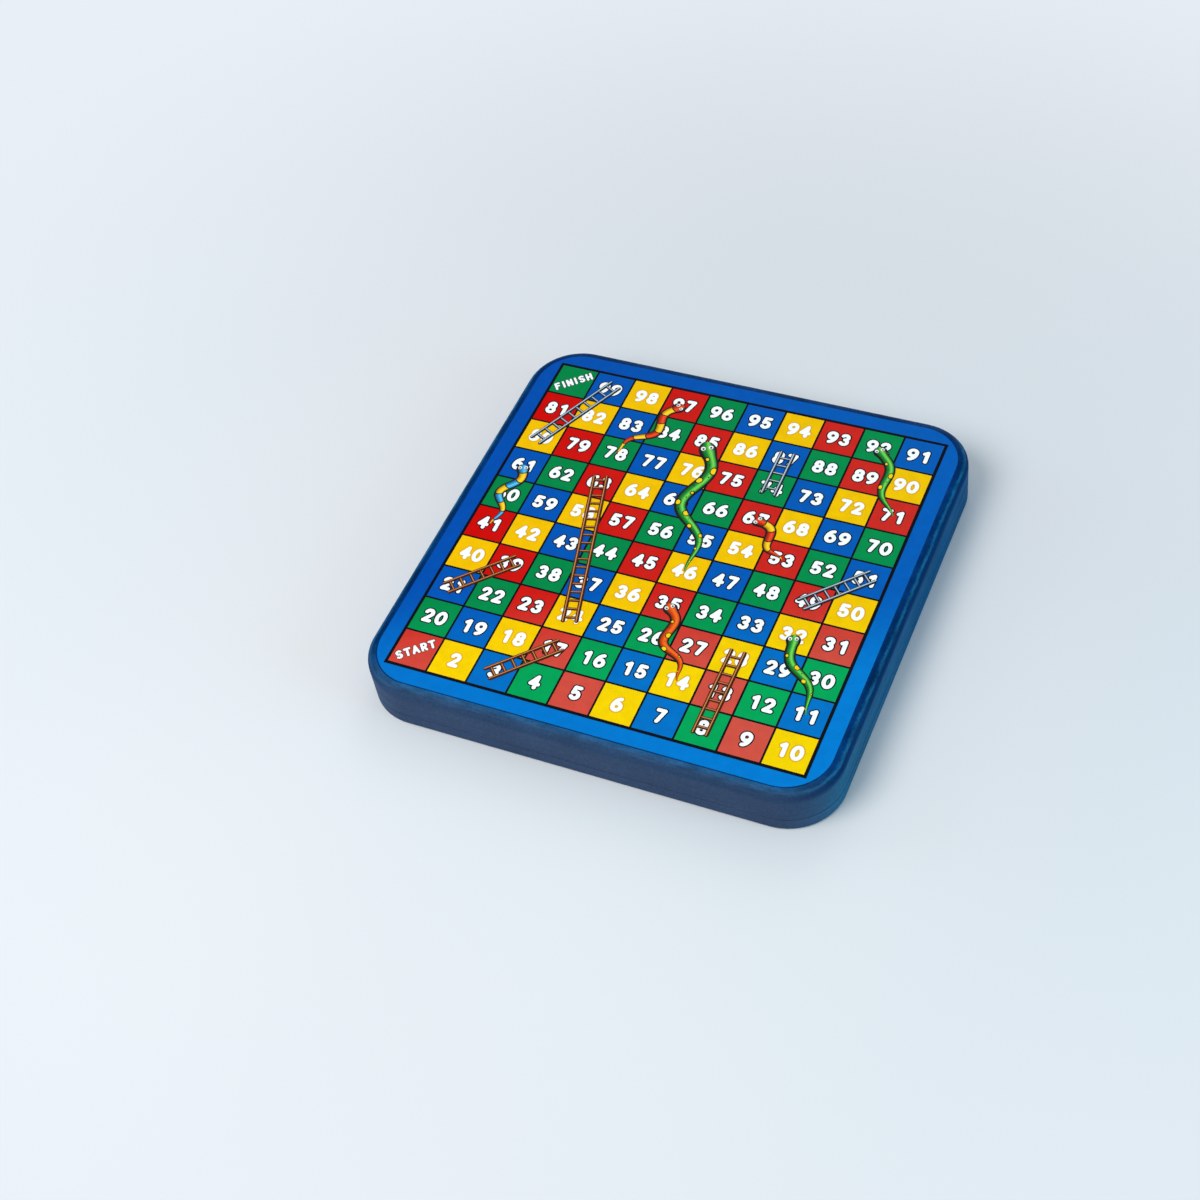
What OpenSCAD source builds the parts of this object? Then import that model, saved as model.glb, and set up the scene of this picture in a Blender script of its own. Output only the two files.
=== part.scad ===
// Snakes and ladders board: a shallow two-part plastic case whose lid is the playing deck.
// Millimetres. X runs to the right and Y to the back, seen from the player's side; Z is up and the
// case stands on z = 0. Square 1 is at the front left. The lid swings up about a hinge at the back.

/* [Playing field] */
// Side of one playing square
cell = 16; // [12:0.5:22]
// Width of the thin lines between squares
line_w = 0.8; // [0.3:0.1:1]
// Width of the heavier line around the field
border_line_w = 1.6; // [0.6:0.1:2]
// Plain border of the sheet outside the field
sheet_border = 7; // [4:0.5:14]
// Thickness of the printed sheet
sheet_t = 0.6; // [0.4:0.1:1.2]
// Thickness of the printed colours
ink_t = 0.1; // [0.08:0.01:0.2]
// Thickness of the raised snakes and ladders
figure_t = 0.3; // [0.1:0.05:0.5]

/* [Ladders] */
// Width of a ladder over its rails
ladder_w = 6.6; // [5:0.2:9]
// Width of a rail
rail_w = 1.6; // [0.8:0.1:2]
// Width of a rung
rung_w = 1.3; // [0.6:0.1:1.6]
// Distance between rungs
rung_pitch = 4; // [3:0.2:6]
// How far a ladder reaches past the middle of its end squares
ladder_reach = 3.4; // [1:0.2:5]

/* [Snakes] */
// Body width of the short snakes
snake_w = 4.2; // [3:0.1:5.5]
// Body width of the long snake
long_snake_w = 5.4; // [3.5:0.1:6.5]
// How far a short snake winds to each side
snake_sway = 3.4; // [1:0.1:5]
// How far the long snake winds to each side
long_snake_sway = 6; // [3:0.1:9]

/* [Case] */
// Plastic rim outside the sheet
rim_w = 4; // [3:0.1:8]
// Radius of the case's corners, seen from above
corner_r = 21; // [16:1:26]
// Radius of the lid's upper edge
edge_r = 3.5; // [1:0.1:4]
// Radius of the base's lower edge
foot_r = 1; // [0.4:0.1:1.6]
// Wall thickness of both shells
wall_t = 2; // [1.6:0.1:2.6]
// Thickness of the base's floor
floor_t = 1.8; // [1.2:0.1:2.4]
// Thickness of the deck under the sheet
deck_t = 1.6; // [1.2:0.1:2.4]
// Height of the base's outer wall, up to the seam
seam_z = 5.5; // [5:0.1:6.5]
// Open seam between base and lid
seam_gap = 0.3; // [0.2:0.05:0.4]
// Height of the base's locating lip above the seam
lip_h = 3; // [2:0.1:4]
// Thickness of the locating lip
lip_t = 1.2; // [1:0.1:1.6]
// Clearance between the lip and the lid
lip_gap = 0.3; // [0.25:0.05:0.5]
// Height of the ribs under the deck
rib_h = 3; // [1:0.2:5]
// Thickness of the ribs
rib_t = 1.2; // [0.8:0.1:2]
// Distance between the ribs
rib_pitch = 36; // [28:1:38]
// Clearance around the sheet in its recess
sheet_gap = 0.15; // [0.1:0.05:0.3]

/* [Hinge] */
// Distance between the middles of the two hinges
hinge_span = 104; // [60:2:120]
// Diameter of a knuckle
knuckle_d = 5; // [4.4:0.1:6]
// Width of one knuckle
knuckle_w = 8; // [6:0.5:14]
// Side gap between knuckles
knuckle_gap = 0.3; // [0.2:0.05:0.5]
// Diameter of a hinge pin
pin_d = 2; // [1.6:0.1:2.4]
// Radial clearance of a pin in the base's knuckles
pin_hold_gap = 0.02; // [0.01:0.01:0.03]
// Radial clearance of a pin in the lid's knuckle
pin_run_gap = 0.06; // [0.04:0.01:0.1]

/* [Storage tray] */
// Room under the tray's pockets
tray_lift = 0.5; // [0.3:0.1:2]
// Room between the stored pieces and the ribs of the deck
headroom = 2; // [0.5:0.5:12]
// Wall thickness of the tray
tray_t = 1.2; // [0.8:0.1:1.6]
// Clearance around the tray
tray_gap = 0.3; // [0.2:0.05:0.6]
// Clearance around a stored piece
nest_gap = 0.3; // [0.2:0.05:0.4]
// Distance between the nests
nest_pitch = 26; // [20:1:32]
// Distance from the middle of the case to the middle of the nests
nest_y = 54; // [48:1:62]
// Width of the open well
well_w = 128; // [60:2:140]
// Depth of the open well, front to back
well_l = 84; // [40:2:88]
// Distance from the middle of the case to the middle of the well
well_y = 20; // [18:1:26]
// Corner radius of the well
well_r = 5; // [4:1:16]

/* [Pawns and die] */
// Height of a pawn
pawn_h = 19; // [16:0.5:20]
// Diameter of a pawn's foot
pawn_d = 9; // [8:0.2:10]
// Thickness of a pawn's foot
pawn_foot_t = 1.8; // [1.2:0.1:2.4]
// Diameter of a pawn's head
pawn_head_d = 6.2; // [5:0.1:6.8]
// Diameter of a pawn's neck
pawn_neck_d = 3.2; // [2.4:0.1:4]
// Diameter of a pawn's collar
pawn_collar_d = 5.4; // [4.4:0.1:6]
// Thickness of a pawn's collar
pawn_collar_t = 0.9; // [0.6:0.1:1.2]
// Side of the die
die_w = 9; // [7:0.5:10]
// Diameter of a pip
pip_d = 1.5; // [1:0.1:1.8]
// Depth of a pip
pip_depth = 0.3; // [0.2:0.05:0.5]

/* [Hidden] */

// Every cut runs this far past the face that it opens
over = 0.5;
// Squares along one side of the field
cells = 10;
// Facets of a round shape in the preview
round_fn = 96;
small_fn = 48;

// Plan of the case, as half widths and corner radii
field_half = cells * cell / 2;
sheet_half = field_half + sheet_border;
case_half = sheet_half + rim_w;
sheet_r = corner_r - rim_w;
lid_half = case_half - wall_t;
lid_r = corner_r - wall_t;
lip_half = lid_half - lip_gap;
lip_r = lid_r - lip_gap;
tub_half = lip_half - lip_t;
tub_r = lip_r - lip_t;
tray_half = tub_half - tray_gap;
tray_r = tub_r - tray_gap;

// Heights, stacked from the floor: tray, stored pieces, headroom, ribs, deck, sheet and print.
// The stored pieces lie half below the tray's top.
lid_z = seam_z + seam_gap;
lip_z = seam_z + lip_h;
stored_d = max(pawn_d, die_w);
nest_z = floor_t + tray_lift + tray_t;
tray_z = nest_z + nest_gap + stored_d / 2;
rib_z = nest_z + nest_gap + stored_d + headroom;
deck_z = rib_z + rib_h;
sheet_z = deck_z + deck_t;
case_h = sheet_z + sheet_t;
ink_z = case_h;
figure_z = ink_z + ink_t;

// The edge radii stay inside the rim and the base's wall
lid_edge_r = min(edge_r, rim_w - sheet_gap);
base_edge_r = min(foot_r, floor_t);

// Hinge: the axis lies in the outer face of the back wall, at the middle of the seam
knuckle_r = knuckle_d / 2;
pin_r = pin_d / 2;
hinge_y = case_half;
hinge_z = seam_z + seam_gap / 2;
hinge_pitch = knuckle_w + knuckle_gap;
pin_l = 3 * knuckle_w + 2 * knuckle_gap;
// The knuckles stand out at the back, so the case sits half as far forward
case_y = -knuckle_r / 2;

// Stored pieces lie with their axis in the plane of the tray's top
pawn_floor_z = tray_z - pawn_d / 2 - nest_gap;
head_floor_z = tray_z - pawn_head_d / 2 - nest_gap;
// Diameter of the sphere that rounds the die's corners, as a share of its side
die_round_share = 1.46;
die_sphere_d = die_w * die_round_share;
// Places of the nests as steps of the nest pitch, counted from the middle of the case
pawn_steps = [-2, -1, 1, 2];
// Pips of each number, in steps from the middle of a face
pip_steps = [[[0, 0]],
    [[-1, -1], [1, 1]],
    [[-1, 1], [0, 0], [1, -1]],
    [[-1, -1], [-1, 1], [1, -1], [1, 1]],
    [[-1, -1], [-1, 1], [0, 0], [1, -1], [1, 1]],
    [[-1, -1], [-1, 0], [-1, 1], [1, -1], [1, 0], [1, 1]]];
// One step between pips, as a share of the die's side
pip_step_share = 0.26;
// Quarter turns that bring each number's face up, from one to six
die_turn_steps = [[0, 0, 0], [1, 0, 0], [0, 1, 0], [0, -1, 0], [-1, 0, 0], [2, 0, 0]];

// Sides of the case, and colours of the squares
LEFT = -1;
RIGHT = 1;
RED = 0;
YELLOW = 1;
GREEN = 2;
BLUE = 3;
// Four rows of squares that repeat, from the front, and from the left
row_colours = [[RED, YELLOW, BLUE, GREEN],
    [GREEN, BLUE, YELLOW, RED],
    [BLUE, GREEN, RED, YELLOW],
    [YELLOW, RED, GREEN, BLUE]];

// Ladders, as the numbers of the squares where they start and end, in steps along the track
brown_ladder_steps = [[3, 17], [8, 28], [21, 39], [24, 63]];
silver_ladder_steps = [[80, 99], [74, 87], [49, 51]];
// Snakes: square of the head, square of the tail, waves, side of the first bend
green_snake_steps = [[92, 71, 1, 1], [32, 11, 1, -1]];
long_snake_steps = [[85, 46, 1.5, 1]];
red_snake_steps = [[97, 78, 1.5, -1], [67, 53, 1, 1]];
orange_snake_steps = [[35, 14, 1.5, 1]];
blue_snake_steps = [[61, 41, 1.5, 1]];
// Stations along a snake
snake_steps = 44;
// Where the head ends and where the tail starts to thin, as shares of the length
head_end_share = 0.15;
thin_share = 0.35;
// Widest part of the head, and its width over that of the body
head_mid_share = 0.07;
head_width_share = 0.3;
tail_tip_share = 0.1;

// Middle of a numbered square: the numbers run to and fro from the front left
function row_of(n) = floor((n - 1) / cells);
function step_of(n) = (n - 1) % cells;
function col_of(n) = row_of(n) % 2 == 0 ? step_of(n) : cells - 1 - step_of(n);
function square_at(n) =
    [(col_of(n) + 0.5) * cell - field_half, (row_of(n) + 0.5) * cell - field_half];

// Half width of a snake at share t of its length, over its greatest half width
function nose(t) = t < head_mid_share ? sqrt(1 - pow(1 - t / head_mid_share, 2)) : 1;
function head(t) = t < head_end_share
    ? head_width_share * (1 + cos(180 * (t - head_mid_share) / (head_end_share - head_mid_share))) / 2
    : 0;
function taper(t) = t < thin_share
    ? 1
    : tail_tip_share + (1 - tail_tip_share) * cos(90 * (t - thin_share) / (1 - thin_share));
function snake_half(t, w) = w / 2 * nose(t) * (taper(t) + (t < head_mid_share ? head_width_share : head(t)));

// Middle line of a snake, on a straight axis along X, and the sideways unit vector there
function snake_line(t, l, waves, sway) = [t * l, sway * sin(360 * waves * t) * sin(180 * t)];
function snake_side(t, l, waves, sway) =
    let (a = snake_line(t - 1 / snake_steps / 4, l, waves, sway),
        b = snake_line(t + 1 / snake_steps / 4, l, waves, sway),
        d = (b - a) / norm(b - a))
    [-d.y, d.x];

// A square plan with round corners, and a plate of it
module rounded_square(half, r) {
    square([2 * (half - r), 2 * half], center = true);
    square([2 * half, 2 * (half - r)], center = true);
    for (x = [-1, 1], y = [-1, 1])
        translate([x * (half - r), y * (half - r)])
            circle(r, $fn = round_fn);
}

module plate(half, r, low, high) {
    translate([0, 0, low])
        linear_extrude(high - low)
            rounded_square(half, r);
}

// Cross-section of a block's edge: w wide and h high, round at its upper or lower outer corner
module edge_profile(w, h, upper_r, lower_r) {
    difference() {
        square([w, h]);
        if (upper_r > 0) {
            translate([w - upper_r, h - upper_r])
                difference() {
                    square(upper_r + over);
                    circle(upper_r, $fn = small_fn);
                }
        }
        if (lower_r > 0) {
            translate([w - lower_r, lower_r])
                mirror([0, 1])
                    difference() {
                        square(lower_r + over);
                        circle(lower_r, $fn = small_fn);
                    }
        }
    }
}

// A block with round corners and a round upper or lower edge
module edged_block(half, r, h, upper_r, lower_r) {
    straight = 2 * (half - r);
    translate([-straight / 2, -straight / 2, 0])
        cube([straight, straight, h]);
    for (turn = [0 : 90 : 270]) {
        rotate([0, 0, turn])
            translate([straight / 2, straight / 2, 0])
                rotate([90, 0, 0])
                    linear_extrude(straight)
                        edge_profile(r, h, upper_r, lower_r);
        rotate([0, 0, turn])
            translate([straight / 2, straight / 2, 0])
                rotate_extrude(angle = 90, $fn = round_fn)
                    edge_profile(r, h, upper_r, lower_r);
    }
}

// The middles of the two hinges, and a cylinder along the axis there
module at_hinges() {
    for (side = [LEFT, RIGHT])
        translate([side * hinge_span / 2, hinge_y, hinge_z])
            children();
}

module along_axis(r, l, from = 0) {
    translate([from, 0, 0])
        rotate([0, 90, 0])
            cylinder(r = r, h = l, center = true, $fn = small_fn);
}

module base_knuckles(r, extra) {
    at_hinges()
        for (step = [-hinge_pitch, hinge_pitch])
            along_axis(r, knuckle_w + 2 * extra, step);
}

module lid_knuckles(r, extra) {
    at_hinges()
        along_axis(r, knuckle_w + 2 * extra);
}

// The case stands this far forward of the frame's origin
module placed() {
    translate([0, case_y, 0])
        children();
}

// Base: floor, low outer wall, locating lip and the outer knuckles of each hinge
module base_shell() {
    color([0.16, 0.25, 0.38])
        placed()
            difference() {
                union() {
                    edged_block(case_half, corner_r, seam_z, 0, base_edge_r);
                    plate(lip_half, lip_r, floor_t, lip_z);
                    base_knuckles(knuckle_r, 0);
                }
                plate(tub_half, tub_r, floor_t, lip_z + over);
                lid_knuckles(knuckle_r + knuckle_gap, knuckle_gap);
                at_hinges()
                    along_axis(pin_r + pin_hold_gap, pin_l + 2 * over);
            }
}

// Lid: deck with a recess for the sheet, deep outer wall, ribs and the middle knuckle of each hinge
module lid_shell() {
    color([0.16, 0.25, 0.38])
        placed()
            difference() {
                union() {
                    difference() {
                        translate([0, 0, lid_z])
                            edged_block(case_half, corner_r, case_h - lid_z, lid_edge_r, 0);
                        plate(lid_half, lid_r, lid_z - over, deck_z);
                        plate(sheet_half + sheet_gap, sheet_r + sheet_gap, sheet_z, case_h + over);
                    }
                    deck_ribs();
                    lid_knuckles(knuckle_r, 0);
                }
                base_knuckles(knuckle_r + knuckle_gap, knuckle_gap);
                at_hinges()
                    along_axis(pin_r + pin_run_gap, pin_l + 2 * over);
            }
}

// Stiffening ribs, which end inside the lid's wall
module deck_ribs() {
    rib_l = 2 * lid_half + wall_t;
    for (turn = [0, 90], step = [-1.5 : 1.5])
        rotate([0, 0, turn])
            translate([step * rib_pitch - rib_t / 2, -rib_l / 2, rib_z])
                cube([rib_t, rib_l, rib_h + deck_t / 2]);
}

module hinge_pin(side) {
    color("silver")
        placed()
            translate([side * hinge_span / 2, hinge_y, hinge_z])
                along_axis(pin_r, pin_l);
}

// Tray: a thin plate on a skirt, with nests for the pawns and the die. The well is open down to
// the base's floor, with a skirt of its own.
module storage_tray() {
    color([0.2, 0.21, 0.23])
        placed()
            difference() {
                union() {
                    difference() {
                        plate(tray_half, tray_r, floor_t, tray_z);
                        plate(tray_half - tray_t, tray_r - tray_t, floor_t - over, tray_z - tray_t);
                    }
                    nests(tray_t, 0);
                    well(tray_t, floor_t, tray_z);
                }
                nests(0, over);
                well(0, floor_t - over, tray_z + over);
            }
}

// The nests, each grown by a wall outwards and below, and raised past the tray's top
module nests(grow, raise) {
    for (step = pawn_steps)
        translate([step * nest_pitch, -nest_y, 0]) {
            pocket(pawn_d, pawn_foot_t, (pawn_foot_t - pawn_h) / 2, pawn_floor_z, grow, raise);
            pocket(pawn_head_d, pawn_h, 0, head_floor_z, grow, raise);
        }
    translate([0, -nest_y, 0])
        pocket(die_w, die_w, 0, nest_z, grow, raise);
}

// The well between two heights, grown by a wall outwards
module well(grow, low, high) {
    translate([0, well_y, low])
        linear_extrude(high - low) {
            for (x = [-1, 1], y = [-1, 1])
                translate([x * (well_w / 2 - well_r), y * (well_l / 2 - well_r)])
                    circle(well_r + grow, $fn = small_fn);
            square([well_w + 2 * grow, well_l - 2 * well_r], center = true);
            square([well_w - 2 * well_r, well_l + 2 * grow], center = true);
        }
}

// A box pocket for a piece of width w and length l, whose middle is at y
module pocket(w, l, y, low, grow, raise) {
    wide = w + 2 * (nest_gap + grow);
    long = l + 2 * (nest_gap + grow);
    translate([-wide / 2, y - long / 2, low - grow])
        cube([wide, long, tray_z + raise - low + grow]);
}

// A pawn standing on z = 0: foot, waisted stem, collar and ball
module pawn() {
    head_z = pawn_h - pawn_head_d / 2;
    collar_z = pawn_h - pawn_head_d - pawn_collar_t / 2;
    cylinder(d = pawn_d, h = pawn_foot_t, $fn = small_fn);
    translate([0, 0, pawn_foot_t])
        cylinder(d1 = pawn_head_d, d2 = pawn_neck_d, h = collar_z - pawn_foot_t,
            $fn = small_fn);
    translate([0, 0, collar_z])
        cylinder(d = pawn_collar_d, h = pawn_collar_t, $fn = small_fn);
    translate([0, 0, collar_z + pawn_collar_t / 2])
        cylinder(d = pawn_neck_d, h = head_z - collar_z - pawn_collar_t / 2, $fn = small_fn);
    translate([0, 0, head_z])
        sphere(d = pawn_head_d, $fn = small_fn);
}

// A pawn that lies in its nest with its head to the back
module stored_pawn(step, colour) {
    color(colour)
        placed()
            translate([step * nest_pitch, -nest_y - pawn_h / 2, tray_z])
                rotate([-90, 0, 0])
                    pawn();
}

module die() {
    color("white")
        placed()
            translate([0, -nest_y, nest_z + nest_gap + die_w / 2])
                difference() {
                    intersection() {
                        cube(die_w, center = true);
                        sphere(d = die_sphere_d, $fn = round_fn);
                    }
                    for (number = [0 : 5])
                        rotate(90 * die_turn_steps[number])
                            pips(pip_steps[number]);
                }
}

module pips(steps) {
    for (step = steps)
        translate([step.x, step.y, 0] * die_w * pip_step_share)
            translate([0, 0, die_w / 2 - pip_depth])
                cylinder(d = pip_d, h = pip_depth + over, $fn = small_fn);
}

// Printed sheet in the deck's recess
module game_sheet() {
    color([0.01, 0.42, 0.78])
        placed()
            plate(sheet_half, sheet_r, sheet_z, case_h);
}

// The places of the squares, one child for each of the wanted colour
module at_squares(colour) {
    for (row = [0 : cells - 1], col = [0 : cells - 1])
        if (colour < 0 || row_colours[row % 4][col % 4] == colour)
            translate([col * cell - field_half + line_w / 2, row * cell - field_half + line_w / 2, 0])
                children();
}

module squares(colour, shade) {
    color(shade)
        placed()
            translate([0, 0, ink_z])
                at_squares(colour)
                    cube([cell - line_w, cell - line_w, ink_t]);
}

module grid_lines() {
    outer = 2 * field_half + border_line_w;
    color([0.07, 0.08, 0.1])
        placed()
            translate([0, 0, ink_z])
                linear_extrude(ink_t)
                    difference() {
                        square(outer, center = true);
                        at_squares(-1)
                            square(cell - line_w);
                    }
}

// A ladder between two squares: two rails and evenly spaced rungs
module ladder(from, to) {
    a = square_at(from);
    b = square_at(to);
    span = norm(b - a) + 2 * ladder_reach;
    rungs = floor(span / rung_pitch);
    translate([(a.x + b.x) / 2, (a.y + b.y) / 2, figure_z])
        rotate([0, 0, atan2(b.y - a.y, b.x - a.x)])
            linear_extrude(figure_t) {
                for (side = [LEFT, RIGHT])
                    translate([0, side * (ladder_w - rail_w) / 2])
                        square([span, rail_w], center = true);
                for (i = [0 : rungs - 1])
                    translate([(i - (rungs - 1) / 2) * rung_pitch, 0])
                        square([rung_w, ladder_w - rail_w], center = true);
            }
}

module ladders(pairs, shade) {
    color(shade)
        placed()
            for (pair = pairs)
                ladder(pair[0], pair[1]);
}

// A snake from the head's square to the tail's, tapered, in even waves
module snake(row, w, sway) {
    a = square_at(row[0]);
    b = square_at(row[1]);
    l = norm(b - a);
    waves = row[2];
    bend = row[3] * sway;
    shares = [for (i = [0 : snake_steps]) i / snake_steps];
    left = [for (t = shares)
        if (t > 0) snake_line(t, l, waves, bend) + snake_half(t, w) * snake_side(t, l, waves, bend)];
    right = [for (i = [snake_steps : -1 : 1])
        let (t = shares[i])
        snake_line(t, l, waves, bend) - snake_half(t, w) * snake_side(t, l, waves, bend)];
    translate([a.x, a.y, figure_z])
        rotate([0, 0, atan2(b.y - a.y, b.x - a.x)])
            linear_extrude(figure_t)
                polygon(concat([snake_line(0, l, waves, bend)], left, right));
}

module snakes(rows, w, sway, shade) {
    color(shade)
        placed()
            for (row = rows)
                snake(row, w, sway);
}

base_shell();
lid_shell();
hinge_pin(LEFT);  // hinge_pin_left
hinge_pin(RIGHT);  // hinge_pin_right
storage_tray();
game_sheet();
grid_lines();
squares(RED, [0.81, 0.16, 0.12]);  // squares_red
squares(YELLOW, [0.96, 0.79, 0.03]);  // squares_yellow
squares(GREEN, [0.03, 0.57, 0.3]);  // squares_green
squares(BLUE, [0.02, 0.38, 0.74]);  // squares_blue
ladders(brown_ladder_steps, [0.5, 0.27, 0.1]);  // ladders_brown
ladders(silver_ladder_steps, [0.62, 0.66, 0.72]);  // ladders_silver
union() {  // snakes_green
    snakes(green_snake_steps, snake_w, snake_sway, [0.2, 0.68, 0.2]);
    snakes(long_snake_steps, long_snake_w, long_snake_sway, [0.2, 0.68, 0.2]);
}
snakes(red_snake_steps, snake_w, snake_sway, [0.9, 0.3, 0.08]);  // snakes_red
snakes(orange_snake_steps, snake_w, snake_sway, [0.93, 0.4, 0.08]);  // snakes_orange
snakes(blue_snake_steps, snake_w, snake_sway, [0.3, 0.68, 0.88]);  // snakes_blue
stored_pawn(pawn_steps[0], [0.81, 0.12, 0.1]);  // pawn_red
stored_pawn(pawn_steps[1], [0.96, 0.79, 0.03]);  // pawn_yellow
stored_pawn(pawn_steps[2], [0.03, 0.57, 0.3]);  // pawn_green
stored_pawn(pawn_steps[3], [0.02, 0.38, 0.74]);  // pawn_blue
die();
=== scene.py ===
"""The looks of a snakes and ladders board: a navy plastic case whose lid is the printed playing deck."""
import math
from collections import namedtuple

import bpy
from mathutils import Matrix, Vector
from mathutils.geometry import delaunay_2d_cdt


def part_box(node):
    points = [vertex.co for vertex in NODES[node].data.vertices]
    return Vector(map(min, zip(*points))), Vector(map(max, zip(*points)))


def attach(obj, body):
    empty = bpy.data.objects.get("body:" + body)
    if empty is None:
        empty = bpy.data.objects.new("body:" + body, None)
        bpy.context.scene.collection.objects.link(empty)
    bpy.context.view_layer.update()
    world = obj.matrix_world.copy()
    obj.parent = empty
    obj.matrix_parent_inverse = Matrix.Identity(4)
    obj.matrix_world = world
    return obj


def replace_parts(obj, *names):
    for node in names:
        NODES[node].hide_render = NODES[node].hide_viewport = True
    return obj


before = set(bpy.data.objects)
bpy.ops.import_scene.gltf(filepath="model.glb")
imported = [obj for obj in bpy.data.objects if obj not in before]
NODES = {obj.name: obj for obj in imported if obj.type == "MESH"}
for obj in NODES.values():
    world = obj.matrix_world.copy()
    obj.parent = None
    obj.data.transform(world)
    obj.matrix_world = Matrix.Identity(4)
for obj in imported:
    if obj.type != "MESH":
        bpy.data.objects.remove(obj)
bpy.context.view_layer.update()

MM = 0.001

# The playing field: a square's width, and how many squares lie side by side
CELL = 16 * MM
CELLS = 10
FIELD_LOW, FIELD_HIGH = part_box("grid_lines")
FIELD = (FIELD_LOW + FIELD_HIGH) / 2
INK_Z = FIELD_HIGH.z
FIGURE_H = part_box("ladders_brown")[1].z - INK_Z
SHEET_LOW, SHEET_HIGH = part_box("game_sheet")


def srgb(red, green, blue):
    """A colour from 0 to 255 as linear RGBA."""
    def linear(value):
        share = value / 255
        return share / 12.92 if share <= 0.04045 else ((share + 0.055) / 1.055) ** 2.4

    return (linear(red), linear(green), linear(blue), 1.0)


# Material tools

class Value:
    """A number in a material's nodes, which plain sums take."""

    def __init__(self, shader, socket):
        self.shader = shader
        self.socket = socket

    def __add__(self, other):
        return self.shader.maths("ADD", self, other)

    def __sub__(self, other):
        return self.shader.maths("SUBTRACT", self, other)

    def __rsub__(self, other):
        return self.shader.maths("SUBTRACT", other, self)

    def __mul__(self, other):
        return self.shader.maths("MULTIPLY", self, other)

    def __truediv__(self, other):
        return self.shader.maths("DIVIDE", self, other)

    def __pow__(self, other):
        return self.shader.maths("POWER", self, other)

    def __lt__(self, other):
        return self.shader.maths("LESS_THAN", self, other)

    def __gt__(self, other):
        return self.shader.maths("GREATER_THAN", self, other)

    def __abs__(self):
        return self.shader.maths("ABSOLUTE", self)


class Shader:
    """A Principled material and short calls for the nodes in front of it."""

    def __init__(self, name, roughness=0.5, **sockets):
        self.material = bpy.data.materials.new(name)
        self.material.use_nodes = True
        self.tree = self.material.node_tree
        self.surface = self.tree.nodes["Principled BSDF"]
        self.surface.inputs["Roughness"].default_value = roughness
        for socket, value in sockets.items():
            self.surface.inputs[socket.replace("_", " ")].default_value = value

    def put(self, socket, value):
        """Sets an input: links an output, or stores a number, vector or colour."""
        if isinstance(value, Value):
            value = value.socket
        if isinstance(value, bpy.types.NodeSocket):
            self.tree.links.new(value, socket)
        else:
            socket.default_value = value

    def node(self, kind, inputs=None, **settings):
        node = self.tree.nodes.new(kind)
        for name, value in settings.items():
            setattr(node, name, value)
        for name, value in (inputs or {}).items():
            self.put(node.inputs[name], value)
        return node

    def maths(self, operation, a, b=0.0):
        node = self.node("ShaderNodeMath", {0: a, 1: b}, operation=operation)
        return Value(self, node.outputs[0])

    def mix(self, share, a, b, blend="MIX"):
        """A colour between two colours. The numbers are those of the node's own sockets for colours."""
        node = self.node("ShaderNodeMix", data_type="RGBA", blend_type=blend)
        for socket, value in ((0, share), (6, a), (7, b)):
            self.put(node.inputs[socket], value)
        return node.outputs[2]

    def place(self):
        """Places in the object's own space, in metres."""
        return self.node("ShaderNodeTexCoord").outputs["Object"]

    def stretched(self, x, y, z):
        """Places times a scale along each axis."""
        return self.node("ShaderNodeMapping", {"Vector": self.place(), "Scale": (x, y, z)}).outputs["Vector"]

    def attribute(self, name):
        return Value(self, self.node("ShaderNodeAttribute", attribute_name=name).outputs["Fac"])

    def noise(self, scale, detail=2.0, vector=None):
        inputs = {"Scale": scale, "Detail": detail, "Vector": vector or self.place()}
        return Value(self, self.node("ShaderNodeTexNoise", inputs).outputs["Fac"])

    def span(self, value, from_low, from_high, to_low, to_high, curve="LINEAR"):
        """The value carried from one span to another, and held at its ends."""
        inputs = {"Value": value, "From Min": from_low, "From Max": from_high,
                  "To Min": to_low, "To Max": to_high}
        node = self.node("ShaderNodeMapRange", inputs, interpolation_type=curve)
        return Value(self, node.outputs["Result"])

    def uneven(self, low, high, scale, detail=2.0, vector=None, spread=0.2):
        """Noise between two values. It reaches them where the bare noise is that far from a half."""
        return self.span(self.noise(scale, detail, vector), 0.5 - spread, 0.5 + spread, low, high)

    def axes(self, vector):
        """The X, Y and Z of a vector."""
        parts = self.node("ShaderNodeSeparateXYZ", {"Vector": vector}).outputs
        return [Value(self, parts[axis]) for axis in "XYZ"]

    def ramp(self, value, stops):
        """A colour ramp through (place, colour) stops."""
        node = self.node("ShaderNodeValToRGB", {"Fac": value})
        elements = node.color_ramp.elements
        while len(elements) < len(stops):
            elements.new(0.5)
        for element, (place, colour) in zip(elements, stops):
            element.position = place
            element.color = colour
        return node.outputs["Color"]

    def bump(self, height, distance, strength=1.0):
        node = self.node("ShaderNodeBump", {"Height": height, "Distance": distance, "Strength": strength})
        self.put(self.surface.inputs["Normal"], node.outputs["Normal"])

    def colour(self, value):
        self.put(self.surface.inputs["Base Color"], value)

    def roughness(self, value):
        self.put(self.surface.inputs["Roughness"], value)


def scaled(shader, colour, factor):
    """The colour made lighter or darker by a factor."""
    grey = shader.node("ShaderNodeCombineColor", {"Red": factor, "Green": factor, "Blue": factor})
    return shader.mix(1.0, colour, grey.outputs["Color"], "MULTIPLY")


def tinted(shader, colour, amount, scale):
    """The colour with soft cloudy lighter and darker patches."""
    return scaled(shader, colour, shader.uneven(1 - amount, 1 + amount, scale, detail=3.0))


# Ink of the sheet, lines and squares, with painted light: the deck is lightest in its front right quarter.
# A slanted line, in front of the field's middle, is where that starts, and it also rises a little from left
# to right.
DECK_LIGHT_SLANT = 0.3
DECK_LIGHT_START, DECK_LIGHT_END = 1.1 * CELL, 4.1 * CELL
DECK_LIGHT_ASIDE = 0.3
INK_GLOSS = 0.03


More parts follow.
